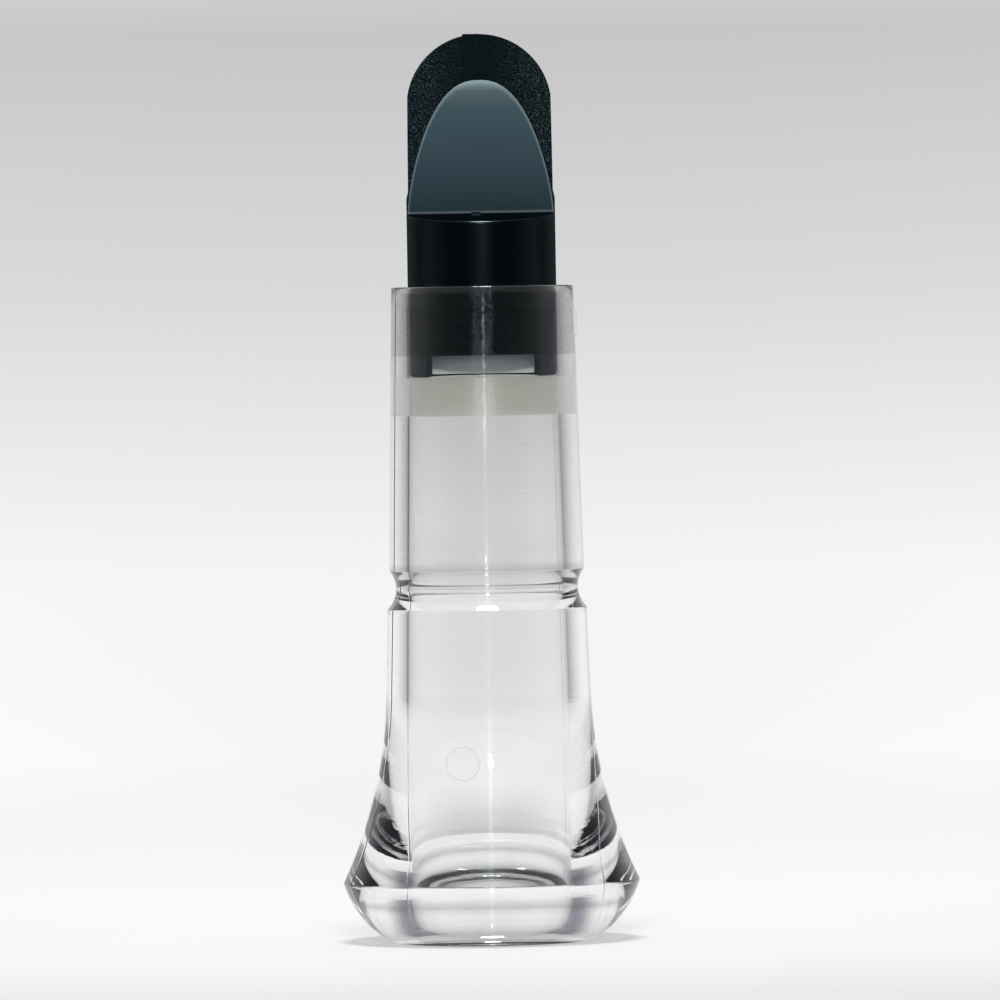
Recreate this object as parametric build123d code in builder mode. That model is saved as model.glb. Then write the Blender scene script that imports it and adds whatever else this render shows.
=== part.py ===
"""A duck call: a clear flared body with a plug-in reed unit of tone board, reed and wedge block.

Millimetres, +Z up.  The origin is the centre of the flat foot that the call stands on, the call's
axis is Z, and the reed faces -Y.
"""

import os
from math import pi, radians, sin, tan

from build123d import *

# ---- driving dimensions -------------------------------------------------------------------------
# Call body, outside, from the mouth down
BODY_HEIGHT = 70.0
MOUTH_RADIUS = 9.73
GROOVE_TOP = 39.7
GROOVE_TOP_RADIUS = 10.42
GROOVE_FLOOR_RADIUS = 9.74
GROOVE_BOTTOM = 35.6
GROOVE_BOTTOM_RADIUS = 10.64
WAIST_HEIGHT = 26.7  # below it the outside flares on one arc
WAIST_RADIUS = 10.92
FLARE_ARC_RADIUS = 50.0
RIM_HEIGHT = 6.4
RIM_RADIUS = 15.87
RIM_ROUNDING = 0.4
LIP_ARC_RADIUS = 11.0
FOOT_RADIUS = 10.85  # outer edge of the ring that the call stands on
MOUTH_ROUNDING = 0.15

# Call body, inside, from the mouth down
SOCKET_RADIUS = 7.97
SHOULDER_HEIGHT = 60.28  # the reed unit's feet stop here
THROAT_RADIUS = 7.88
THROAT_BOTTOM = 56.2
BORE_TOP_RADIUS = 8.0
BORE_BOTTOM_RADIUS = 9.0
BELL_HEIGHT = 3.6  # below it the bore opens out on one arc
BELL_RADIUS = 10.5

# The stub that the mould's gate leaves on the body's parting line, just under the mouth
SEAM_ANGLE = 18.5  # degrees that the parting plane is turned about Z
GATE_HEIGHT = 66.0
GATE_STAND = 0.7
GATE_ROOT = 0.4  # how deep the stub is rooted in the wall
GATE_WIDTH = 1.5
GATE_LENGTH = 2.9

# Tone board
PLUG_RADIUS = 7.94
PLUG_BOTTOM = 60.3
FOOT_TOP = 62.6  # top of the two round feet that stand each side of the reed's tang
FOOT_GAP = 11.1
FOOT_ROUNDING = 0.6
CLAMP_LINE = 77.8  # the wedge block's upper edge: above it the reed is free
BLADE_START = 79.4  # the plug steps in to the narrower blade here
BLADE_SHOULDER = 0.8
BLADE_RADIUS = 7.75
BLADE_ARC_CENTRE = 89.2
FACE_Y = 0.175
FACE_ANGLE = 4.4  # degrees that the face falls away from the reed above the clamp line
BACK_RAMP_START = 72.0
TIP_BACK_Y = 5.3
CHANNEL_BOTTOM_RADIUS = 5.55
CHANNEL_TOP_RADIUS = 2.55
CHANNEL_TOP = 88.0

# Gate stubs on the tops of the tone board and the wedge block
BOARD_STUB_HEIGHT = 0.05
BOARD_STUB_WIDTH = 1.8
BOARD_STUB_DEPTH = 1.0
BOARD_STUB_X = -0.8
BOARD_STUB_Y = 3.4
WEDGE_STUB_HEIGHT = 0.12
WEDGE_STUB_WIDTH = 1.0
WEDGE_STUB_DEPTH = 0.5
WEDGE_STUB_X = -0.5

# Reed
REED_THICKNESS = 0.33
REED_HALF_WIDTH = 7.8
REED_TIP = 92.0
REED_TAPER = 1.4  # how late the tongue starts to narrow: 2 would be an ellipse
REED_BLUNTNESS = 0.42  # how round its tip is: 0.5 would be an ellipse
REED_OUTLINE_STEPS = 10
REED_BUTT = 60.55
TANG_HALF_WIDTH = 5.5
HINGE_GAP = 0.03  # between the clamped end and the free tongue

# Wedge block
WEDGE_BACK_Y = -0.185
WEDGE_TOP_SLOPE = 6.5  # degrees, falling towards the front
WEDGE_ROUNDING = 0.3
SLIDE_GAP = 0.02  # between the wedge block and the feet under it

REACH = 20.0  # of a cutting block, more than the reed unit's width
BOARD_TOP = BLADE_ARC_CENTRE + BLADE_RADIUS

os.makedirs("parts", exist_ok=True)

# ---- call body ----------------------------------------------------------------------------------
# One clear moulding: socket on top, lanyard groove at mid height, flared foot with a belled bore.
bell_step = BELL_RADIUS - BORE_BOTTOM_RADIUS
bell_arc_radius = (bell_step**2 + BELL_HEIGHT**2) / (2 * bell_step)
with BuildPart() as call_body:
    with BuildSketch(Plane.XZ) as wall:
        with BuildLine():
            Polyline((SOCKET_RADIUS, BODY_HEIGHT), (MOUTH_RADIUS, BODY_HEIGHT), (GROOVE_TOP_RADIUS, GROOVE_TOP))
            ThreePointArc(
                (GROOVE_TOP_RADIUS, GROOVE_TOP),
                (GROOVE_FLOOR_RADIUS, (GROOVE_TOP + GROOVE_BOTTOM) / 2),
                (GROOVE_BOTTOM_RADIUS, GROOVE_BOTTOM),
            )
            Line((GROOVE_BOTTOM_RADIUS, GROOVE_BOTTOM), (WAIST_RADIUS, WAIST_HEIGHT))
            RadiusArc((WAIST_RADIUS, WAIST_HEIGHT), (RIM_RADIUS, RIM_HEIGHT), -FLARE_ARC_RADIUS)
            RadiusArc((RIM_RADIUS, RIM_HEIGHT), (FOOT_RADIUS, 0), LIP_ARC_RADIUS)
            Line((FOOT_RADIUS, 0), (BELL_RADIUS, 0))
            RadiusArc((BELL_RADIUS, 0), (BORE_BOTTOM_RADIUS, BELL_HEIGHT), bell_arc_radius)
            Polyline(
                (BORE_BOTTOM_RADIUS, BELL_HEIGHT),
                (BORE_TOP_RADIUS, THROAT_BOTTOM),
                (THROAT_RADIUS, THROAT_BOTTOM),
                (THROAT_RADIUS, SHOULDER_HEIGHT),
                (SOCKET_RADIUS, SHOULDER_HEIGHT),
                (SOCKET_RADIUS, BODY_HEIGHT),
            )
        make_face()
        fillet(wall.vertices().sort_by(Axis.X)[-1], RIM_ROUNDING)
        fillet(wall.vertices().group_by(Axis.Y)[-1], MOUTH_ROUNDING)
    revolve(axis=Axis.Z)
    with Locations((0, 0, GATE_HEIGHT)):
        wall_slope = (GROOVE_TOP_RADIUS - MOUTH_RADIUS) / (BODY_HEIGHT - GROOVE_TOP)
        wall_radius = MOUTH_RADIUS + wall_slope * (BODY_HEIGHT - GATE_HEIGHT)
        with PolarLocations(wall_radius - GATE_ROOT, 1, start_angle=SEAM_ANGLE):
            Box(
                GATE_ROOT + GATE_STAND,
                GATE_WIDTH,
                GATE_LENGTH,
                align=(Align.MIN, Align.CENTER, Align.CENTER),
            )
call_body.part.label = "call_body"
export_step(call_body.part, "parts/call_body.step")

# ---- tone board ---------------------------------------------------------------------------------
# Half-round plug and blade in one moulding, with the air channel down its flat face and two feet.
with BuildPart() as tone_board:
    with BuildSketch(Plane.XZ) as half_outline:
        with BuildLine():
            Polyline(
                (0, PLUG_BOTTOM),
                (PLUG_RADIUS, PLUG_BOTTOM),
                (PLUG_RADIUS, BLADE_START),
                (BLADE_RADIUS, BLADE_START + BLADE_SHOULDER),
                (BLADE_RADIUS, BOARD_TOP),
                (0, BOARD_TOP),
                close=True,
            )
        make_face()
        fillet(half_outline.vertices().group_by(Axis.Y)[0].sort_by(Axis.X)[-1], FOOT_ROUNDING)
    revolve(axis=Axis.Z)
    # The tombstone outline of the blade, as the reed faces it.
    with BuildSketch(Plane.XZ.offset(-REACH)):
        with BuildLine():
            Line((REACH, PLUG_BOTTOM), (REACH, BLADE_ARC_CENTRE))
            Line((REACH, BLADE_ARC_CENTRE), (BLADE_RADIUS, BLADE_ARC_CENTRE))
            CenterArc((0, BLADE_ARC_CENTRE), BLADE_RADIUS, 0, 180)
            Line((-BLADE_RADIUS, BLADE_ARC_CENTRE), (-REACH, BLADE_ARC_CENTRE))
            Line((-REACH, BLADE_ARC_CENTRE), (-REACH, PLUG_BOTTOM))
            Line((-REACH, PLUG_BOTTOM), (REACH, PLUG_BOTTOM))
        make_face()
    extrude(amount=2 * REACH, mode=Mode.INTERSECT)
    # The front half goes, down to the feet, and the face falls away above the clamp line.
    with BuildSketch(Plane.YZ):
        with BuildLine():
            Polyline(
                (-REACH, FOOT_TOP),
                (FACE_Y, FOOT_TOP),
                (FACE_Y, CLAMP_LINE),
                (FACE_Y + (BOARD_TOP - CLAMP_LINE) * tan(radians(FACE_ANGLE)), BOARD_TOP),
                (-REACH, BOARD_TOP),
                close=True,
            )
        make_face()
    extrude(amount=REACH, both=True, mode=Mode.SUBTRACT)
    # The gap between the feet, for the reed's tang.
    with BuildSketch(Plane.XY.offset(PLUG_BOTTOM)):
        with Locations((0, FACE_Y)):
            Rectangle(FOOT_GAP, REACH, align=(Align.CENTER, Align.MAX))
    extrude(amount=FOOT_TOP - PLUG_BOTTOM, mode=Mode.SUBTRACT)
    # The back slopes to a thinner tip.
    with BuildSketch(Plane.YZ):
        with BuildLine():
            Polyline(
                (PLUG_RADIUS, BACK_RAMP_START),
                (TIP_BACK_Y, BOARD_TOP),
                (REACH, BOARD_TOP),
                (REACH, BACK_RAMP_START),
                close=True,
            )
        make_face()
    extrude(amount=REACH, both=True, mode=Mode.SUBTRACT)
    # The air channel: a cone along the axis with a round blind end, open at the bottom.
    with BuildSketch(Plane.XZ):
        with BuildLine():
            Polyline(
                (0, CHANNEL_TOP + CHANNEL_TOP_RADIUS),
                (0, PLUG_BOTTOM),
                (CHANNEL_BOTTOM_RADIUS, PLUG_BOTTOM),
                (CHANNEL_TOP_RADIUS, CHANNEL_TOP),
            )
            CenterArc((0, CHANNEL_TOP), CHANNEL_TOP_RADIUS, 0, 90)
        make_face()
    revolve(axis=Axis.Z, mode=Mode.SUBTRACT)
    with Locations((BOARD_STUB_X, BOARD_STUB_Y, BOARD_TOP + BOARD_STUB_HEIGHT)):
        Box(BOARD_STUB_WIDTH, BOARD_STUB_DEPTH, 1, align=(Align.CENTER, Align.CENTER, Align.MAX))
tone_board.part.label = "tone_board"
export_step(tone_board.part, "parts/tone_board.step")

# ---- reed ---------------------------------------------------------------------------------------
# One strip of stiff film.  Its clamped end and its free tongue are two solids, so that it can bend.
with BuildPart() as reed_clamped_end:
    with BuildSketch(Plane.XZ.offset(-REED_THICKNESS / 2)):
        with Locations((0, FOOT_TOP + SLIDE_GAP)):
            Rectangle(
                2 * REED_HALF_WIDTH,
                CLAMP_LINE - FOOT_TOP - SLIDE_GAP,
                align=(Align.CENTER, Align.MIN),
            )
        with Locations((0, REED_BUTT)):
            Rectangle(
                2 * TANG_HALF_WIDTH,
                FOOT_TOP + SLIDE_GAP - REED_BUTT,
                align=(Align.CENTER, Align.MIN),
            )
    extrude(amount=REED_THICKNESS)
reed_clamped_end.part.label = "reed_clamped_end"
export_step(reed_clamped_end.part, "parts/reed_clamped_end.step")

right_side = []
for step in range(REED_OUTLINE_STEPS):
    share = sin(pi / 2 * step / REED_OUTLINE_STEPS)
    half_width = REED_HALF_WIDTH * (1 - share**REED_TAPER) ** REED_BLUNTNESS
    right_side.append((half_width, CLAMP_LINE + share * (REED_TIP - CLAMP_LINE)))
left_side = [(-x, z) for x, z in reversed(right_side)]
with BuildPart() as reed_tongue:
    with BuildSketch(Plane.XZ.offset(-REED_THICKNESS / 2)):
        with BuildLine():
            Spline(*right_side, (0, REED_TIP), *left_side)
            Line(left_side[-1], right_side[0])
        make_face()
        with Locations((0, CLAMP_LINE + HINGE_GAP)):
            Rectangle(REACH, REACH, align=(Align.CENTER, Align.MIN), mode=Mode.INTERSECT)
    extrude(amount=REED_THICKNESS)
reed_tongue.part.label = "reed_tongue"
export_step(reed_tongue.part, "parts/reed_tongue.step")

# ---- wedge block --------------------------------------------------------------------------------
# Half-round block that fills the front of the socket and presses the reed on the tone board.
with BuildPart() as wedge_block:
    with BuildSketch(Plane.XY.offset(FOOT_TOP + SLIDE_GAP)):
        Circle(PLUG_RADIUS)
        with Locations((0, WEDGE_BACK_Y)):
            Rectangle(REACH, REACH, align=(Align.CENTER, Align.MAX), mode=Mode.INTERSECT)
    extrude(amount=CLAMP_LINE - FOOT_TOP - SLIDE_GAP)
    with BuildSketch(Plane.YZ):
        with BuildLine():
            Polyline(
                (WEDGE_BACK_Y, CLAMP_LINE),
                (WEDGE_BACK_Y - REACH, CLAMP_LINE - REACH * tan(radians(WEDGE_TOP_SLOPE))),
                (WEDGE_BACK_Y - REACH, CLAMP_LINE),
                close=True,
            )
        make_face()
    extrude(amount=REACH, both=True, mode=Mode.SUBTRACT)
    curved_edges = wedge_block.edges().filter_by(lambda edge: edge.geom_type != GeomType.LINE)
    fillet(curved_edges, WEDGE_ROUNDING)
    with Locations((WEDGE_STUB_X, WEDGE_BACK_Y - WEDGE_ROUNDING, CLAMP_LINE + WEDGE_STUB_HEIGHT)):
        Box(WEDGE_STUB_WIDTH, WEDGE_STUB_DEPTH, 1, align=(Align.CENTER, Align.MAX, Align.MAX))
wedge_block.part.label = "wedge_block"
export_step(wedge_block.part, "parts/wedge_block.step")
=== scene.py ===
"""Looks for the duck call: clear body, frosted reed, black tone board and wedge, and a studio.

Lengths are in metres.  Sizes that come in millimetres are multiplied by MM.
"""

import math

import bmesh
import bpy
from mathutils import Matrix, Vector


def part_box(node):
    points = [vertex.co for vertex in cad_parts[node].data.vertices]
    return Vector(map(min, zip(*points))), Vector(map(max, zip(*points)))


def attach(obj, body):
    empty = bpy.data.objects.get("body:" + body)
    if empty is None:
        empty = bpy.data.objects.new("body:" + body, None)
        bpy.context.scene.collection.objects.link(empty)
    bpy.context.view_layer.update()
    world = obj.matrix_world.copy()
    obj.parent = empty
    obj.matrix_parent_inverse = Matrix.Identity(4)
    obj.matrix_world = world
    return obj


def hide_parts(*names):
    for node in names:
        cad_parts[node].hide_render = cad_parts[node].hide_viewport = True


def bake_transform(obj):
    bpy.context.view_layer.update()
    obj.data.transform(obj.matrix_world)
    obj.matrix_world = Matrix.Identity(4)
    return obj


MM = 0.001

# ---- sizes --------------------------------------------------------------------------------------
# Clear body, outside (mm), as in the call's design
GROOVE_TOP = 39.7
GROOVE_TOP_RADIUS = 10.42
GROOVE_FLOOR_RADIUS = 9.74
GROOVE_BOTTOM = 35.6
GROOVE_BOTTOM_RADIUS = 10.64
MOUTH_RADIUS = 9.73
WAIST = (10.92, 26.7)
RIM = (15.87, 6.4)
FLARE_ARC_RADIUS = 50.0
LIP_ARC_RADIUS = 11.0
FOOT_RADIUS = 10.85
MOUTH_ROUNDING = 0.15
GROOVE_ROUNDING = 0.12
RIM_ROUNDING = 0.4
FOOT_ROUNDING = 0.1
BELL_ROUNDING = 0.06
# Clear body, inside (mm)
BELL_RADIUS = 10.5
BELL_HEIGHT = 3.6
BORE_BOTTOM_RADIUS = 9.0
BORE_TOP_RADIUS = 8.0
THROAT_RADIUS = 7.88
THROAT_BOTTOM = 56.2
SHOULDER_HEIGHT = 60.28
SOCKET_RADIUS = 7.97
FOOT_TOP = 62.6  # the plug rubs the socket above this height
# Moulding marks: angles in degrees about Z, lengths in mm
SEAM_ANGLE = 18.5
SEAM_HALF_WIDTH = 0.35  # degrees
SEAM_STAND = 0.03
GATE_BOTTOM = 64.55
GATE_TOP = 67.45
GATE_HALF_ANGLE = 4.4
GATE_STAND = 0.7
GATE_EDGE_ANGLE = 0.35
GATE_EDGE = 0.08
MARKS_BELOW_MOUTH = 0.2  # the marks stop this far below the mouth
TURN_SEGMENTS = 256

# Ring that a mould pin left on the front of the body (mm)
PIN_X = -2.86
PIN_HEIGHT = 19.4
PIN_RADIUS = 1.75
PIN_LINE = 0.05
PIN_TINT = 0.72

# Clear plastic
PLASTIC_IOR = 1.57
TINT_TOP = 70.0  # mm, the height that the lists below run up to
GLINT_SHARES = [  # how much of the surface has a long upright glint, by height in mm
    (0.0, 0.003),
    (12.0, 0.005),
    (22.0, 0.0045),
    (27.0, 0.0015),
    (34.0, 0.0015),
    (40.0, (0.007, 0.0075, 0.008)),
    (44.0, 0.0015),
    (51.0, 0.0015),
    (56.0, 0.009),
    (70.0, 0.005),
]
GLINT_COLOUR = (0.75, 0.89, 1.0)
GLINT_ROUGHNESS = 0.22
GLINT_STRETCH = 0.93
SPARKLE_SCALE = 2600.0
SPARKLE_LOW = 0.15
SPARKLE_HIGH = 1.9
TURNING_SCALE = (60.0, 60.0, 3200.0)  # fine rings round the bore
# Dark matt layer of painted shade that dims the socket wall beside the black plug
PAINTED_SHADE_LEVEL = 0.004
SHADOW_TINT = [  # how much light each surface lets through to what is behind it, by height in mm
    (0.0, 0.5),
    (6.5, 0.55),
    (13.0, (0.93, 0.93, 0.94)),
    (50.0, (0.93, 0.93, 0.94)),
    (60.0, (0.95, 0.95, 0.96)),
    (70.0, (0.95, 0.95, 0.96)),
]
CLEAR_TINT = [  # tint of the outside and the socket by height in mm; the darker band from 42 to 57 mm is painted shade
    (0.0, (0.995, 0.997, 0.997)),
    (35.0, (0.99, 0.992, 0.99)),
    (42.0, (0.87, 0.873, 0.865)),
    (57.0, (0.875, 0.878, 0.87)),
    (61.0, (0.94, 0.945, 0.935)),
    (70.0, (0.94, 0.945, 0.935)),
]
# Painted shade: a dark tint on the throat, on top of the grey that its real roughness gives
THROAT_TINT = [(0.0, (0.49, 0.495, 0.435)), (70.0, (0.49, 0.495, 0.435))]
BORE_TINT = [  # tint of the bore's turned wall by height in mm; its darkening at the bell's foot is painted shade
    (0.0, (0.7, 0.7, 0.69)),
    (4.0, (0.93, 0.93, 0.925)),
    (8.0, 1.0),
    (15.0, (0.97, 0.97, 0.965)),
    (30.0, (0.885, 0.885, 0.87)),
    (36.0, (0.89, 0.89, 0.875)),
    (45.0, (0.96, 0.96, 0.945)),
    (56.2, (0.87, 0.87, 0.855)),
]

# Reed (mm)
REED_TAPER = 1.4  # how late the tongue starts to narrow: 2 would be an ellipse
REED_BLUNTNESS = 0.42  # how round its tip is: 0.5 would be an ellipse
REED_EDGE = 0.08
TANG_HALF_WIDTH = 5.5
TANG_TOP = 62.62
TANG_CHAMFER = 0.1
TANG_STEP = 0.01
REED_CLAMPED_ROWS = 12
REED_COLUMNS = 28
REED_TONGUE_ROWS = 48
# The film's smoky tint carries painted light: a painted glow at the foot of the tang, painted shade
# towards the clamp line, a painted highlight line at the clamp line (0.0 to 0.008) and a painted glow at
# the tip.
REED_TINT_AND_PAINTED_LIGHT = [  # colour by the height above the clamp line, as a share of the tongue's length
    (-1.235, 1.0),
    (-1.2, (0.95, 1.0, 1.0)),
    (-1.15, (0.80, 0.90, 0.96)),
    (-1.07, (0.24, 0.30, 0.31)),
    (-1.0, (0.009, 0.028, 0.037)),
    (-0.008, (0.009, 0.028, 0.037)),
    (0.0, (0.10, 0.13, 0.14)),
    (0.008, (0.10, 0.13, 0.14)),
    (0.016, (0.009, 0.028, 0.037)),
    (0.45, (0.025, 0.049, 0.066)),
    (0.78, (0.036, 0.068, 0.083)),
    (0.92, (0.067, 0.106, 0.118)),
    (1.0, (0.20, 0.28, 0.31)),
]

# Painted glow round the tongue's cut edge
REED_PAINTED_RIM_LIGHT = (0.45, 0.55, 0.58)
REED_GLOW = (0.30, 0.38, 0.39)

# Black parts
BLACK_SHEEN = (0.75, 0.95, 1.0)
BOARD_BLACK = (0.0008, 0.0035, 0.004)
# Painted glints on the specks of the spark-eroded grain
BOARD_SPECK_GLINTS = (0.042, 0.062, 0.072)
BOARD_GRAIN_SCALE = 7500.0
BOARD_EDGE = 0.16  # mm
WEDGE_BLACK = (0.0002, 0.001, 0.0018)

# Camera: a long lens at the height of the call's mouth
CAMERA_DISTANCE = 1.25
CAMERA_AIM = (0.00155, 0.0, 0.0471)
CAMERA_DROP = 1.04  # degrees that it looks down
CAMERA_ROLL = -0.95  # degrees
CAMERA_LENS = 421.0
SENSOR = 36.0

# Stage: a round floor that sweeps up into a wall
FLOOR_RADIUS = 1.5
WALL_RADIUS = 2.0
WALL_HEIGHT = 2.2
STAGE_SIDES = 96
FLOOR_STEPS = 12
SWEEP_STEPS = 16
PAPER_WHITE = 0.6
AIR_STRENGTH = 0.5
WALL_LEVELS = [  # brightness by height (m)
    (0.0, 0.97),
    (0.07, 0.735),
    (0.138, 0.60),
    (0.18, 0.8),
    (0.3, 0.95),
    (0.6, 0.85),
    (1.1, 0.62),
    (2.2, 0.55),
]
SIDE_LEVELS = [  # brightness by the cosine of the bearing from +Y; the camera's side is dark
    (-1.0, (0.005, 0.01, 0.015)),
    (-0.9, (0.015, 0.03, 0.03)),
    (-0.6, (0.06, 0.09, 0.09)),
    (-0.3, (0.2, 0.23, 0.23)),
    (0.0, (0.42, 0.42, 0.44)),
    (0.3, (0.25, 0.25, 0.29)),
    (0.5, (0.33, 0.33, 0.37)),
    (0.7, 0.66),
    (0.85, 0.91),
    (0.95, 1.0),
    (0.99, 1.0),
    (0.998, 0.94),
    (1.0, 0.94),
]
FRONT_FADE = [  # brightness of the floor by the distance behind the call's axis (m)
    (-0.4, 0.95),
    (-0.1, (0.84, 0.84, 0.83)),
    (-0.035, (0.93, 0.93, 0.925)),
    (0.0, 0.955),
    (0.1, 1.0),
]

# Lamps: place, the point that each shines at, side (m) and power (W)
FRONT_LAMP = ((0.02, -1.4, 0.45), (0, 0, 0.05), 0.08, 9.0)
TOP_LAMP = ((0.0, -0.35, 1.25), (0, 0, 0), 0.34, 21.0)


# ---- mesh helpers -------------------------------------------------------------------------------
def arc(start, end, radius, steps, bulge):
    """Points of the arc from start to end, both included; bulge +1 has its centre on the left."""
    a = Vector(start)
    b = Vector(end)
    chord = b - a
    half = chord.length / 2
    left = Vector((-chord.y, chord.x)).normalized()
    centre = (a + b) / 2 + left * bulge * math.sqrt(radius**2 - half**2)
    first = a - centre
    turn = first.angle_signed(b - centre)
    points = []
    for i in range(steps + 1):
        angle = -turn * i / steps
        spoke = Matrix.Rotation(angle, 2) @ first
        points.append(tuple(centre + spoke))
    return points


def rounded(before, corner, after, radius, steps=4):
    """Points that round a corner between two straight or nearly straight runs."""
    p = Vector(corner)
    u = (Vector(before) - p).normalized()
    v = (Vector(after) - p).normalized()
    half = u.angle(v) / 2
    reach = radius / math.tan(half)
    centre = p + (u + v).normalized() * radius / math.sin(half)
    first = p + u * reach - centre
    turn = first.angle_signed(p + v * reach - centre)
    return [tuple(centre + Matrix.Rotation(-turn * i / steps, 2) @ first) for i in range(steps + 1)]


def straight(start, end, steps):
    """Points of a straight run without its two ends."""
    a = Vector(start)
    b = Vector(end)
    return [tuple(a.lerp(b, i / steps)) for i in range(1, steps)]


def finish_mesh(name, mesh_data, sharp_degrees=30):
    """Turns a bmesh into a linked object with smooth shading and sharp creases."""
    bmesh.ops.recalc_face_normals(mesh_data, faces=mesh_data.faces)
    mesh = bpy.data.meshes.new(name)
    mesh_data.to_mesh(mesh)
    mesh_data.free()
    mesh.shade_smooth()
    mesh.set_sharp_from_angle(angle=math.radians(sharp_degrees))
    obj = bpy.data.objects.new(name, mesh)
    bpy.context.scene.collection.objects.link(obj)
    return obj


# ---- material helpers ---------------------------------------------------------------------------
def new_material(name):
    """An empty node material: returns it, its tree and a function that adds a node."""
    material = bpy.data.materials.new(name)
    material.use_nodes = True
    tree = material.node_tree
    tree.nodes.clear()

    def add(kind, **values):
        node = tree.nodes.new(kind)
        for key, value in values.items():
            if key in node.inputs:
                node.inputs[key].default_value = value
            else:
                setattr(node, key, value)
        return node

    return material, tree, add


def rgba(shade):
    """A grey level or an (r, g, b) as the (r, g, b, 1) that nodes take."""
    if isinstance(shade, float):
        return (shade, shade, shade, 1.0)
    return (*shade, 1.0)


def colour_ramp(add, link, source, low, high, stops):
    """Adds a colour ramp over source from low to high, with stops as (value, shade)."""
    spread = add("ShaderNodeMapRange", **{"From Min": low, "From Max": high})
    link(source, spread.inputs["Value"])
    curve = add("ShaderNodeValToRGB")
    elements = curve.color_ramp.elements
    for element, (value, shade) in zip(elements, (stops[0], stops[-1])):
        element.position = (value - low) / (high - low)
        element.color = rgba(shade)
    for value, shade in stops[1:-1]:
        elements.new((value - low) / (high - low)).color = rgba(shade)
    link(spread.outputs["Result"], curve.inputs["Fac"])
    return curve.outputs["Color"]


def multiplied(add):
    """Adds a node that multiplies its colours A and B."""
    node = add("ShaderNodeMix", data_type="RGBA", blend_type="MULTIPLY")
    node.inputs["Factor"].default_value = 1.0
    return node


# ---- clear body ---------------------------------------------------------------------------------
def body_outline():
    """The wall's closed outline as (radius, height, zone) in millimetres, from the mouth down."""
    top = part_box("call_body")[1].z / MM
    mouth_in = (SOCKET_RADIUS, top)
    mouth_out = (MOUTH_RADIUS, top)
    groove_top = (GROOVE_TOP_RADIUS, GROOVE_TOP)
    groove_floor = (GROOVE_FLOOR_RADIUS, (GROOVE_TOP + GROOVE_BOTTOM) / 2)
    groove_bottom = (GROOVE_BOTTOM_RADIUS, GROOVE_BOTTOM)
    foot_out = (FOOT_RADIUS, 0.0)
    foot_in = (BELL_RADIUS, 0.0)
    bell_top = (BORE_BOTTOM_RADIUS, BELL_HEIGHT)
    throat_bottom_out = (BORE_TOP_RADIUS, THROAT_BOTTOM)
    throat_bottom_in = (THROAT_RADIUS, THROAT_BOTTOM)
    shoulder_in = (THROAT_RADIUS, SHOULDER_HEIGHT)
    shoulder_out = (SOCKET_RADIUS, SHOULDER_HEIGHT)

    sagitta = GROOVE_TOP_RADIUS / 2 + GROOVE_BOTTOM_RADIUS / 2 - groove_floor[0]
    half_width = (GROOVE_TOP - GROOVE_BOTTOM) / 2
    groove_radius = (half_width**2 + sagitta**2) / (2 * sagitta)
    groove = arc(groove_top, groove_bottom, groove_radius, 20, 1)
    flare = arc(WAIST, RIM, FLARE_ARC_RADIUS, 60, 1)
    lip = arc(RIM, foot_out, LIP_ARC_RADIUS, 36, -1)
    bell_step = BELL_RADIUS - BORE_BOTTOM_RADIUS
    bell = arc(foot_in, bell_top, (bell_step**2 + BELL_HEIGHT**2) / (2 * bell_step), 20, -1)

    outline = []

    def run(points, zone):
        outline.extend((x, z, zone) for x, z in points)

    run(rounded(mouth_in, mouth_out, groove_top, MOUTH_ROUNDING), "polished")
    slope = (GROOVE_TOP_RADIUS - MOUTH_RADIUS) / (top - GROOVE_TOP)
    for height in (GATE_TOP + GATE_EDGE, GATE_TOP, GATE_BOTTOM, GATE_BOTTOM - GATE_EDGE):
        run([(MOUTH_RADIUS + slope * (top - height), height)], "polished")
    below_gate = (MOUTH_RADIUS + slope * (top - GATE_BOTTOM), GATE_BOTTOM)
    run(straight(below_gate, groove_top, 30), "polished")
    run(rounded(mouth_out, groove_top, groove[1], GROOVE_ROUNDING), "polished")
    run(groove[1:-1], "polished")
    run(rounded(groove[-2], groove_bottom, WAIST, GROOVE_ROUNDING), "polished")
    run(straight(groove_bottom, WAIST, 10), "polished")
    run(flare[:-2], "polished")
    run(rounded(flare[-2], RIM, lip[1], RIM_ROUNDING, 8), "polished")
    run(lip[2:-1], "polished")
    run(rounded(lip[-2], foot_out, foot_in, FOOT_ROUNDING), "polished")
    run(rounded(foot_out, foot_in, bell[1], BELL_ROUNDING), "polished")
    run(bell[1:-1], "turned")
    run([bell_top] + straight(bell_top, throat_bottom_out, 50), "turned")
    run([throat_bottom_out], "throat")
    run([throat_bottom_in], "throat")
    run([shoulder_in], "polished")
    run([shoulder_out], "step")
    run([(SOCKET_RADIUS, FOOT_TOP)] + straight((SOCKET_RADIUS, FOOT_TOP), mouth_in, 8), "socket")
    run(rounded(shoulder_out, mouth_in, mouth_out, MOUTH_ROUNDING), "polished")
    return outline


def turn_angles():
    """The angles of the lathe's columns, closer together at the parting line and the gate."""
    angles = {360.0 * i / TURN_SEGMENTS for i in range(TURN_SEGMENTS)}
    for side in (SEAM_ANGLE, SEAM_ANGLE + 180):
        angles |= {side + step * SEAM_HALF_WIDTH / 2 for step in (-2, -1, 0, 1, 2)}
    for sign in (-1, 1):
        angles.add(SEAM_ANGLE + sign * GATE_HALF_ANGLE)
        angles.add(SEAM_ANGLE + sign * (GATE_HALF_ANGLE + GATE_EDGE_ANGLE))
    kept = []
    for angle in sorted(angles):
        if not kept or angle - kept[-1] > SEAM_HALF_WIDTH / 3:
            kept.append(angle)
    return kept


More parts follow.
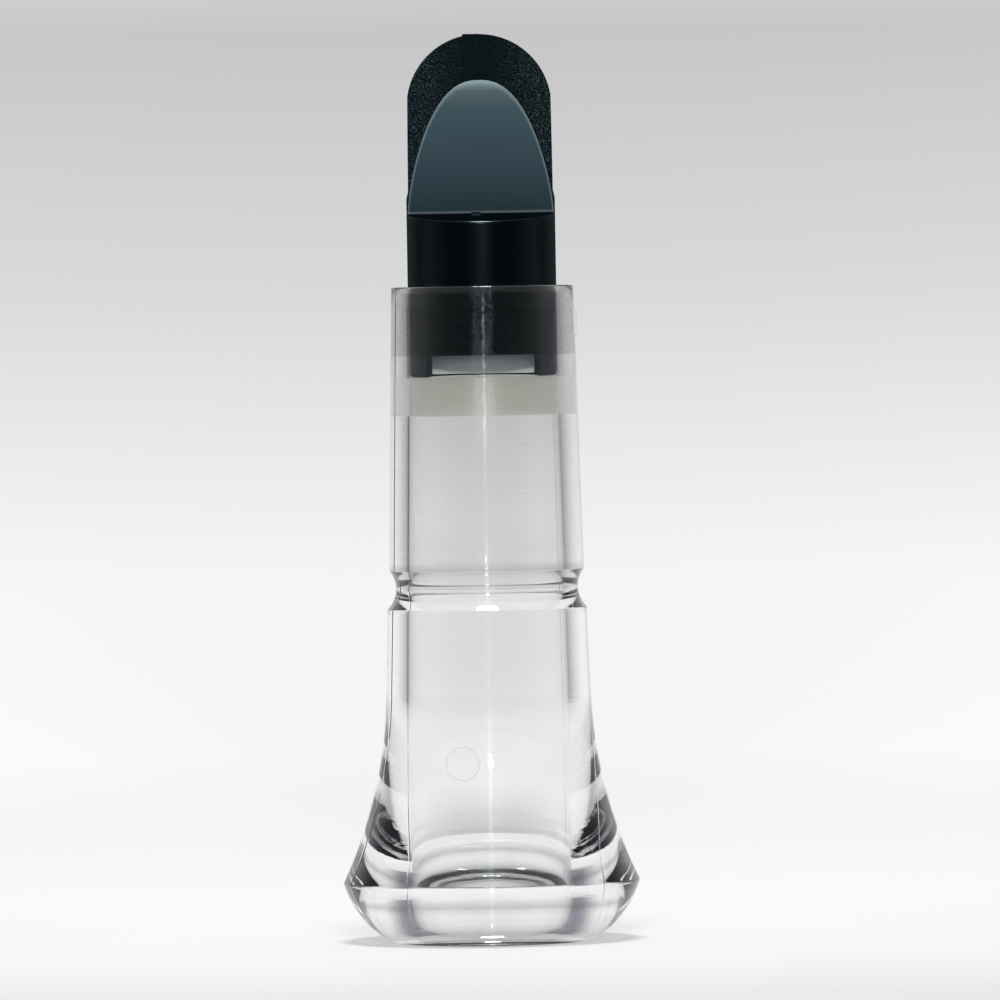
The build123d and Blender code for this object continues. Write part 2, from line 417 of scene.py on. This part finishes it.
def moulding_marks(height, angle):
    """How far the outside stands proud at a point, in mm: the parting line and the gate's stub."""
    seam = 0.0
    for side in (SEAM_ANGLE, SEAM_ANGLE + 180):
        away = abs((angle - side + 180) % 360 - 180)
        seam = max(seam, SEAM_STAND * max(0.0, 1 - away / SEAM_HALF_WIDTH))
    away = abs((angle - SEAM_ANGLE + 180) % 360 - 180)
    in_gate = away <= GATE_HALF_ANGLE + 0.01 and GATE_BOTTOM - 0.001 <= height <= GATE_TOP + 0.001
    return GATE_STAND if in_gate else seam


def make_body(materials):
    """The wall, turned from its outline with a material for each zone."""
    outline = body_outline()
    marks_top = outline[0][1] - MARKS_BELOW_MOUTH
    data = bmesh.new()
    rings = []
    for angle in turn_angles():
        turn = math.radians(angle)
        ring = []
        for radius, height, _zone in outline:
            in_lip = radius > FOOT_RADIUS + 0.1
            in_side = height > BELL_HEIGHT and radius > MOUTH_RADIUS - 0.1
            marked = (in_lip or in_side) and height < marks_top
            proud = moulding_marks(height, angle) if marked else 0.0
            reach = (radius + proud) * MM
            ring.append(data.verts.new((reach * math.cos(turn), reach * math.sin(turn), height * MM)))
        rings.append(ring)
    zones = list(materials)
    for i, ring in enumerate(rings):
        following = rings[(i + 1) % len(rings)]
        for j in range(len(outline)):
            k = (j + 1) % len(outline)
            face = data.faces.new((ring[j], ring[k], following[k], following[j]))
            face.material_index = zones.index(outline[j][2])
    body = finish_mesh("clear_body", data)
    for material in materials.values():
        body.data.materials.append(material)
    return body


def with_pin_ring(add, link, parts, tint):
    """The tint, darker on the ring that a mould pin left low on the front of the body."""
    spot = add("ShaderNodeCombineXYZ")
    link(parts.outputs["X"], spot.inputs["X"])
    link(parts.outputs["Z"], spot.inputs["Z"])
    away = add("ShaderNodeVectorMath", operation="DISTANCE")
    link(spot.outputs["Vector"], away.inputs[0])
    away.inputs[1].default_value = (PIN_X * MM, 0.0, PIN_HEIGHT * MM)
    on_line = add("ShaderNodeMath", operation="COMPARE")
    link(away.outputs["Value"], on_line.inputs[0])
    on_line.inputs[1].default_value = PIN_RADIUS * MM
    on_line.inputs[2].default_value = PIN_LINE * MM
    front = add("ShaderNodeMath", operation="LESS_THAN")
    link(parts.outputs["Y"], front.inputs[0])
    front.inputs[1].default_value = 0.0
    ring = add("ShaderNodeMath", operation="MULTIPLY")
    link(on_line.outputs["Value"], ring.inputs[0])
    link(front.outputs["Value"], ring.inputs[1])
    ringed = add("ShaderNodeMix", data_type="RGBA")
    link(ring.outputs["Value"], ringed.inputs["Factor"])
    link(tint, ringed.inputs["A"])
    ringed.inputs["B"].default_value = rgba(PIN_TINT)
    return ringed.outputs["Result"]


def clear_plastic(name, tint, roughness=0.0, turning=0.0, painted_shade=0.0, scuff=1.0, pin_ring=False):
    """Clear moulded plastic that lamps shine through.

    Turning is the depth of its ripples in mm, the painted shade share is the share of light that a dark
    matt layer of painted shade swallows, and scuff widens and strengthens its glint.
    """
    material, tree, add = new_material(name)
    link = tree.links.new
    output = add("ShaderNodeOutputMaterial")
    plastic = add(
        "ShaderNodeBsdfPrincipled",
        **{"Roughness": roughness, "IOR": PLASTIC_IOR, "Transmission Weight": 1.0},
    )
    place = add("ShaderNodeTexCoord")
    parts = add("ShaderNodeSeparateXYZ")
    link(place.outputs["Object"], parts.inputs["Vector"])

    def by_height(stops):
        stops = [(height * MM, shade) for height, shade in stops]
        return colour_ramp(add, link, parts.outputs["Z"], 0.0, TINT_TOP * MM, stops)

    tint_here = by_height(tint)
    if pin_ring:
        tint_here = with_pin_ring(add, link, parts, tint_here)
    link(tint_here, plastic.inputs["Base Color"])
    tangent = add("ShaderNodeTangent", direction_type="RADIAL", axis="Z")
    glint = add(
        "ShaderNodeBsdfAnisotropic",
        Color=rgba(GLINT_COLOUR),
        Roughness=GLINT_ROUGHNESS * scuff,
        Anisotropy=GLINT_STRETCH,
    )
    link(tangent.outputs["Tangent"], glint.inputs["Tangent"])
    if turning:
        squeeze = add("ShaderNodeMapping")
        squeeze.inputs["Scale"].default_value = TURNING_SCALE
        link(place.outputs["Object"], squeeze.inputs["Vector"])
        rings = add("ShaderNodeTexNoise", Scale=1.0, Detail=2.0)
        link(squeeze.outputs["Vector"], rings.inputs["Vector"])
        bump = add("ShaderNodeBump", Strength=1.0, Distance=turning * MM)
        link(rings.outputs["Fac"], bump.inputs["Height"])
        link(bump.outputs["Normal"], plastic.inputs["Normal"])
        link(bump.outputs["Normal"], glint.inputs["Normal"])
    sparkle = add("ShaderNodeTexNoise", Scale=SPARKLE_SCALE, Detail=2.0)
    link(place.outputs["Object"], sparkle.inputs["Vector"])
    contrast = add("ShaderNodeMapRange", **{"From Min": 0.4, "From Max": 0.6})
    contrast.inputs["To Min"].default_value = SPARKLE_LOW * scuff
    contrast.inputs["To Max"].default_value = SPARKLE_HIGH * scuff**3
    link(sparkle.outputs["Fac"], contrast.inputs["Value"])
    speckled = add("ShaderNodeMath", operation="MULTIPLY")
    link(by_height(GLINT_SHARES), speckled.inputs[0])
    link(contrast.outputs["Result"], speckled.inputs[1])
    shine = add("ShaderNodeMixShader")
    link(speckled.outputs["Value"], shine.inputs["Fac"])
    link(plastic.outputs["BSDF"], shine.inputs[1])
    link(glint.outputs["BSDF"], shine.inputs[2])
    # painted shade: a dark matt layer dims the wall beside the plug
    if painted_shade:
        dull = add("ShaderNodeBsdfDiffuse", Color=rgba(PAINTED_SHADE_LEVEL))
        shaded = add("ShaderNodeMixShader", Fac=painted_shade)
        link(shine.outputs["Shader"], shaded.inputs[1])
        link(dull.outputs["BSDF"], shaded.inputs[2])
        shine = shaded
    through = add("ShaderNodeBsdfTransparent")
    link(by_height(SHADOW_TINT), through.inputs["Color"])
    path = add("ShaderNodeLightPath")
    lighting = add("ShaderNodeMath", operation="MAXIMUM")
    link(path.outputs["Is Shadow Ray"], lighting.inputs[0])
    link(path.outputs["Is Diffuse Ray"], lighting.inputs[1])
    choose = add("ShaderNodeMixShader")
    link(lighting.outputs["Value"], choose.inputs["Fac"])
    link(shine.outputs["Shader"], choose.inputs[1])
    link(through.outputs["BSDF"], choose.inputs[2])
    link(choose.outputs["Shader"], output.inputs["Surface"])
    return material


# ---- reed ---------------------------------------------------------------------------------------
def reed_rows():
    """(height, half width) in metres of the strip's rows, from the butt up to the tip."""
    low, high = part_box("reed_clamped_end")
    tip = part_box("reed_tongue")[1].z
    clamp = high.z
    wide = high.x
    tang = TANG_HALF_WIDTH * MM
    shoulder = TANG_TOP * MM
    chamfer = TANG_CHAMFER * MM
    rows = [(low.z, tang - chamfer), (low.z + chamfer, tang)]
    rows += [(shoulder - TANG_STEP * MM, tang), (shoulder, wide)]
    for i in range(1, REED_CLAMPED_ROWS):
        rows.append((shoulder + (clamp - shoulder) * i / REED_CLAMPED_ROWS, wide))
    for i in range(REED_TONGUE_ROWS):
        share = math.sin(math.pi / 2 * i / REED_TONGUE_ROWS)
        rows.append((clamp + (tip - clamp) * share, wide * (1 - share**REED_TAPER) ** REED_BLUNTNESS))
    return rows


def make_reed(material):
    """The whole reed, butt to tip, as one strip with chamfered edges."""
    low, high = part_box("reed_tongue")
    half = (high.y - low.y) / 2
    middle = (high.y + low.y) / 2
    edge = REED_EDGE * MM
    data = bmesh.new()
    loops = []
    for height, width in reed_rows():
        inner = max(width - edge, width * 0.5)
        across = [inner * (2 * i / REED_COLUMNS - 1) for i in range(REED_COLUMNS + 1)]
        loop = [(x, middle - half) for x in across]
        loop += [(width, middle - half + edge), (width, middle + half - edge)]
        loop += [(x, middle + half) for x in reversed(across)]
        loop += [(-width, middle + half - edge), (-width, middle - half + edge)]
        loops.append([data.verts.new((x, y, height)) for x, y in loop])
    for lower, upper in zip(loops, loops[1:]):
        for i in range(len(lower)):
            k = (i + 1) % len(lower)
            data.faces.new((lower[i], lower[k], upper[k], upper[i]))
    data.faces.new(loops[0])
    data.faces.new(loops[-1])
    reed = finish_mesh("reed", data, 40)
    reed.data.materials.append(material)
    return reed


def reed_film():
    """Smoky frosted film with painted light: painted shade darkens it towards the clamp line, and a
    painted glow pales its tip, the foot of its tang and its cut edge.
    """
    material, tree, add = new_material("reed_film")
    link = tree.links.new
    output = add("ShaderNodeOutputMaterial")
    place = add("ShaderNodeTexCoord")
    parts = add("ShaderNodeSeparateXYZ")
    link(place.outputs["Generated"], parts.inputs["Vector"])  # from the strip's own box: it moves along

    def math_node(operation, *values):
        node = add("ShaderNodeMath", operation=operation)
        for socket, value in zip(node.inputs, values):
            if isinstance(value, float):
                socket.default_value = value
            else:
                link(value, socket)
        return node.outputs["Value"]

    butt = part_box("reed_clamped_end")[0].z
    low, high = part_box("reed_tongue")
    strip = math_node("MULTIPLY", parts.outputs["Z"], (high.z - butt) / (high.z - low.z))
    rise = math_node("SUBTRACT", strip, (low.z - butt) / (high.z - low.z))
    # painted light and shade along the strip, over its smoky tint
    shade = colour_ramp(add, link, rise, REED_TINT_AND_PAINTED_LIGHT[0][0], 1.0, REED_TINT_AND_PAINTED_LIGHT)
    across = math_node("ABSOLUTE", math_node("MULTIPLY_ADD", parts.outputs["X"], 2.0, -1.0))
    tall = math_node("POWER", math_node("MAXIMUM", rise, 0.0), REED_TAPER)
    outline = math_node("ADD", math_node("POWER", across, 1 / REED_BLUNTNESS), tall)
    # painted glow: the tongue is painted paler near its cut edge
    rim = add("ShaderNodeMapRange", **{"From Min": 0.93, "From Max": 1.0, "To Max": 0.25})
    rim.interpolation_type = "SMOOTHSTEP"
    link(outline, rim.inputs["Value"])
    free = math_node("GREATER_THAN", rise, 0.0)
    paler = add("ShaderNodeMix", data_type="RGBA")
    paler.inputs["B"].default_value = rgba(REED_PAINTED_RIM_LIGHT)
    link(math_node("MULTIPLY", rim.outputs["Result"], free), paler.inputs["Factor"])
    link(shade, paler.inputs["A"])
    satin = add("ShaderNodeBsdfPrincipled", **{"Roughness": 0.36, "Specular IOR Level": 0.08})
    link(paler.outputs["Result"], satin.inputs["Base Color"])
    glow = add("ShaderNodeBsdfTranslucent", Color=rgba(REED_GLOW))
    mix = add("ShaderNodeMixShader", Fac=0.1)
    link(satin.outputs["BSDF"], mix.inputs[1])
    link(glow.outputs["BSDF"], mix.inputs[2])
    link(mix.outputs["Shader"], output.inputs["Surface"])
    return material


# ---- black parts --------------------------------------------------------------------------------
def black_board():
    """Black plastic with the fine grain of a spark-eroded mould, its specks painted as glints and paler
    towards its two sides as painted sheen.
    """
    material, tree, add = new_material("black_board")
    link = tree.links.new
    output = add("ShaderNodeOutputMaterial")
    place = add("ShaderNodeTexCoord")
    grain = add("ShaderNodeTexNoise", Scale=BOARD_GRAIN_SCALE, Detail=2.0)
    link(place.outputs["Object"], grain.inputs["Vector"])
    specks = add("ShaderNodeMapRange", **{"From Min": 0.52, "From Max": 0.68})
    link(grain.outputs["Fac"], specks.inputs["Value"])
    parts = add("ShaderNodeSeparateXYZ")
    link(place.outputs["Object"], parts.inputs["Vector"])
    # painted sheen: the specks' painted glints grow brighter towards the two sides
    across = add("ShaderNodeMath", operation="ABSOLUTE")
    link(parts.outputs["X"], across.inputs[0])
    painted_sheen_to_side = add("ShaderNodeMapRange", **{"From Min": 1.5 * MM, "From Max": 6.0 * MM, "To Min": 0.12})
    link(across.outputs["Value"], painted_sheen_to_side.inputs["Value"])
    amount = add("ShaderNodeMath", operation="MULTIPLY")
    link(specks.outputs["Result"], amount.inputs[0])
    link(painted_sheen_to_side.outputs["Result"], amount.inputs[1])
    colour = add("ShaderNodeMix", data_type="RGBA")
    colour.inputs["A"].default_value = rgba(BOARD_BLACK)
    colour.inputs["B"].default_value = rgba(BOARD_SPECK_GLINTS)
    link(amount.outputs["Value"], colour.inputs["Factor"])
    matt = add("ShaderNodeBsdfDiffuse")
    link(colour.outputs["Result"], matt.inputs["Color"])
    sheen = add("ShaderNodeBsdfAnisotropic", Color=rgba(BLACK_SHEEN), Roughness=0.45)
    shell = add("ShaderNodeMixShader", Fac=0.001)
    link(matt.outputs["BSDF"], shell.inputs[1])
    link(sheen.outputs["BSDF"], shell.inputs[2])
    link(shell.outputs["Shader"], output.inputs["Surface"])
    return material


def black_gloss():
    """Glossy black moulded plastic."""
    material, tree, add = new_material("black_wedge")
    link = tree.links.new
    output = add("ShaderNodeOutputMaterial")
    depth = add("ShaderNodeBsdfDiffuse", Color=rgba(WEDGE_BLACK))
    gloss = add("ShaderNodeBsdfAnisotropic", Color=rgba(BLACK_SHEEN), Roughness=0.18)
    shell = add("ShaderNodeMixShader", Fac=0.027)
    link(depth.outputs["BSDF"], shell.inputs[1])
    link(gloss.outputs["BSDF"], shell.inputs[2])
    link(shell.outputs["Shader"], output.inputs["Surface"])
    return material


def dress(node, material, edge_width):
    """Gives a CAD node its finished material and, where edge_width (mm) is set, rounds its edges."""
    node.data.materials.clear()
    node.data.materials.append(material)
    node.data.shade_smooth()
    node.data.set_sharp_from_angle(angle=math.radians(25))
    if edge_width:
        bevel = node.modifiers.new("edge_rounding", "BEVEL")
        bevel.width = edge_width * MM
        bevel.segments = 3
        bevel.limit_method = "ANGLE"
        bevel.angle_limit = math.radians(35)
    flatten = node.modifiers.new("flat_faces_stay_flat", "WEIGHTED_NORMAL")
    flatten.keep_sharp = True


# ---- studio -------------------------------------------------------------------------------------
def make_stage():
    """A round pale floor that sweeps up into a wall, open on top and the same all round."""
    sweep = WALL_RADIUS - FLOOR_RADIUS
    outline = [(FLOOR_RADIUS * i / FLOOR_STEPS, 0.0) for i in range(FLOOR_STEPS + 1)]
    for i in range(1, SWEEP_STEPS + 1):
        turn = math.pi / 2 * i / SWEEP_STEPS
        outline.append((FLOOR_RADIUS + sweep * math.sin(turn), sweep * (1 - math.cos(turn))))
    outline.append((WALL_RADIUS, WALL_HEIGHT))
    data = bmesh.new()
    centre = data.verts.new((0, 0, 0))
    rings = []
    for i in range(STAGE_SIDES):
        turn = 2 * math.pi * i / STAGE_SIDES
        rings.append([data.verts.new((r * math.cos(turn), r * math.sin(turn), z)) for r, z in outline[1:]])
    for i, ring in enumerate(rings):
        following = rings[(i + 1) % len(rings)]
        data.faces.new((centre, ring[0], following[0]))
        for j in range(len(ring) - 1):
            data.faces.new((ring[j], ring[j + 1], following[j + 1], following[j]))
    stage = finish_mesh("studio_sweep", data, 60)
    stage.data.materials.append(stage_paper())


def stage_paper():
    """White paper that glows with painted light, fading upwards and towards the camera's side as painted
    shade, and takes real shadows near the call.
    """
    material, tree, add = new_material("studio_paper")
    link = tree.links.new
    output = add("ShaderNodeOutputMaterial")
    place = add("ShaderNodeTexCoord")
    parts = add("ShaderNodeSeparateXYZ")
    link(place.outputs["Object"], parts.inputs["Vector"])

    by_height = colour_ramp(add, link, parts.outputs["Z"], 0.0, WALL_HEIGHT, WALL_LEVELS)
    flat = add("ShaderNodeVectorMath", operation="MULTIPLY")
    flat.inputs[1].default_value = (1.0, 1.0, 0.0)
    link(place.outputs["Object"], flat.inputs[0])
    radius = add("ShaderNodeVectorMath", operation="LENGTH")
    link(flat.outputs["Vector"], radius.inputs[0])
    bearing = add("ShaderNodeMath", operation="DIVIDE")
    link(parts.outputs["Y"], bearing.inputs[0])
    link(radius.outputs["Value"], bearing.inputs[1])
    by_side = colour_ramp(add, link, bearing.outputs["Value"], -1.0, 1.0, SIDE_LEVELS)
    away = add("ShaderNodeMapRange", **{"From Min": 0.04, "From Max": 0.5})
    link(radius.outputs["Value"], away.inputs["Value"])
    side = add("ShaderNodeMix", data_type="RGBA")
    side.inputs["A"].default_value = rgba(1.0)
    link(away.outputs["Result"], side.inputs["Factor"])
    link(by_side, side.inputs["B"])
    level = multiplied(add)
    link(by_height, level.inputs["A"])
    link(side.outputs["Result"], level.inputs["B"])
    fade = colour_ramp(add, link, parts.outputs["Y"], -0.4, 0.1, FRONT_FADE)
    faded = multiplied(add)
    link(level.outputs["Result"], faded.inputs["A"])
    link(fade, faded.inputs["B"])
    glow = add("ShaderNodeEmission", Strength=1.0)
    link(faded.outputs["Result"], glow.inputs["Color"])
    white = multiplied(add)
    white.inputs["A"].default_value = rgba(PAPER_WHITE)
    link(fade, white.inputs["B"])
    paper = add("ShaderNodeBsdfDiffuse")
    link(white.outputs["Result"], paper.inputs["Color"])
    near = add("ShaderNodeMapRange", **{"From Min": 0.1, "From Max": 0.5, "To Min": 0.3, "To Max": 1.0})
    link(radius.outputs["Value"], near.inputs["Value"])
    mix = add("ShaderNodeMixShader")
    link(near.outputs["Result"], mix.inputs["Fac"])
    link(paper.outputs["BSDF"], mix.inputs[1])
    link(glow.outputs["Emission"], mix.inputs[2])
    link(mix.outputs["Shader"], output.inputs["Surface"])
    return material


def make_world():
    """Even white air light."""
    world = bpy.data.worlds.new("studio_air")
    world.use_nodes = True
    background = world.node_tree.nodes["Background"]
    background.inputs["Color"].default_value = rgba(1.0)
    background.inputs["Strength"].default_value = AIR_STRENGTH
    bpy.context.scene.world = world


def make_lamp(name, place, aim, size, power):
    """A square soft lamp at place that shines at aim."""
    lamp = bpy.data.lights.new(name, "AREA")
    lamp.shape = "SQUARE"
    lamp.size = size
    lamp.energy = power
    obj = bpy.data.objects.new(name, lamp)
    obj.location = place
    obj.rotation_euler = (Vector(aim) - Vector(place)).to_track_quat("-Z", "Y").to_euler()
    bpy.context.scene.collection.objects.link(obj)


def make_camera():
    """The long lens in front of the call, with its small drop and roll."""
    camera = bpy.data.cameras.new("camera")
    camera.lens = CAMERA_LENS
    camera.sensor_width = SENSOR
    camera.clip_start = 0.05
    camera.clip_end = 20.0
    obj = bpy.data.objects.new("camera", camera)
    aim = Vector(CAMERA_AIM)
    drop = math.radians(CAMERA_DROP)
    back = Vector((0.0, -math.cos(drop), math.sin(drop)))
    obj.location = aim + back * CAMERA_DISTANCE
    look = (-back).to_track_quat("-Z", "Y").to_matrix().to_4x4()
    roll = Matrix.Rotation(math.radians(CAMERA_ROLL), 4, "Z")
    obj.rotation_euler = (look @ roll).to_euler()
    bpy.context.scene.collection.objects.link(obj)
    bpy.context.scene.camera = obj


# ---- the scene ----------------------------------------------------------------------------------
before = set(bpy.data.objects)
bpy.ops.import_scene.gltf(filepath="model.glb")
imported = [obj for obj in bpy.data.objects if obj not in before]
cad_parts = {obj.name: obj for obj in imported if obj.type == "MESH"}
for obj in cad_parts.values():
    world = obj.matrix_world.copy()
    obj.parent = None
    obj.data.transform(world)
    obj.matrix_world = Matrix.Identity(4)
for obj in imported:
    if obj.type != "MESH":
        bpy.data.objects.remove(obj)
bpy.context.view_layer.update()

body = make_body(
    {
        "polished": clear_plastic("clear_plastic", CLEAR_TINT, pin_ring=True),
        "turned": clear_plastic("turned_plastic", BORE_TINT, turning=0.003),
        "throat": clear_plastic("throat_plastic", THROAT_TINT, roughness=0.3, turning=0.01),
        "step": clear_plastic("step_plastic", CLEAR_TINT, painted_shade=0.3),
        "socket": clear_plastic("socket_plastic", CLEAR_TINT, painted_shade=0.48, scuff=1.3),
    }
)
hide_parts("call_body")
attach(body, "body")

reed = make_reed(reed_film())
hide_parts("reed_clamped_end", "reed_tongue")
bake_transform(reed)

dress(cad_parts["tone_board"], black_board(), BOARD_EDGE)
dress(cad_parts["wedge_block"], black_gloss(), 0.0)

make_stage()
make_world()
make_lamp("front_lamp", *FRONT_LAMP)
make_lamp("top_lamp", *TOP_LAMP)
make_camera()
bpy.context.scene.view_settings.view_transform = "Standard"
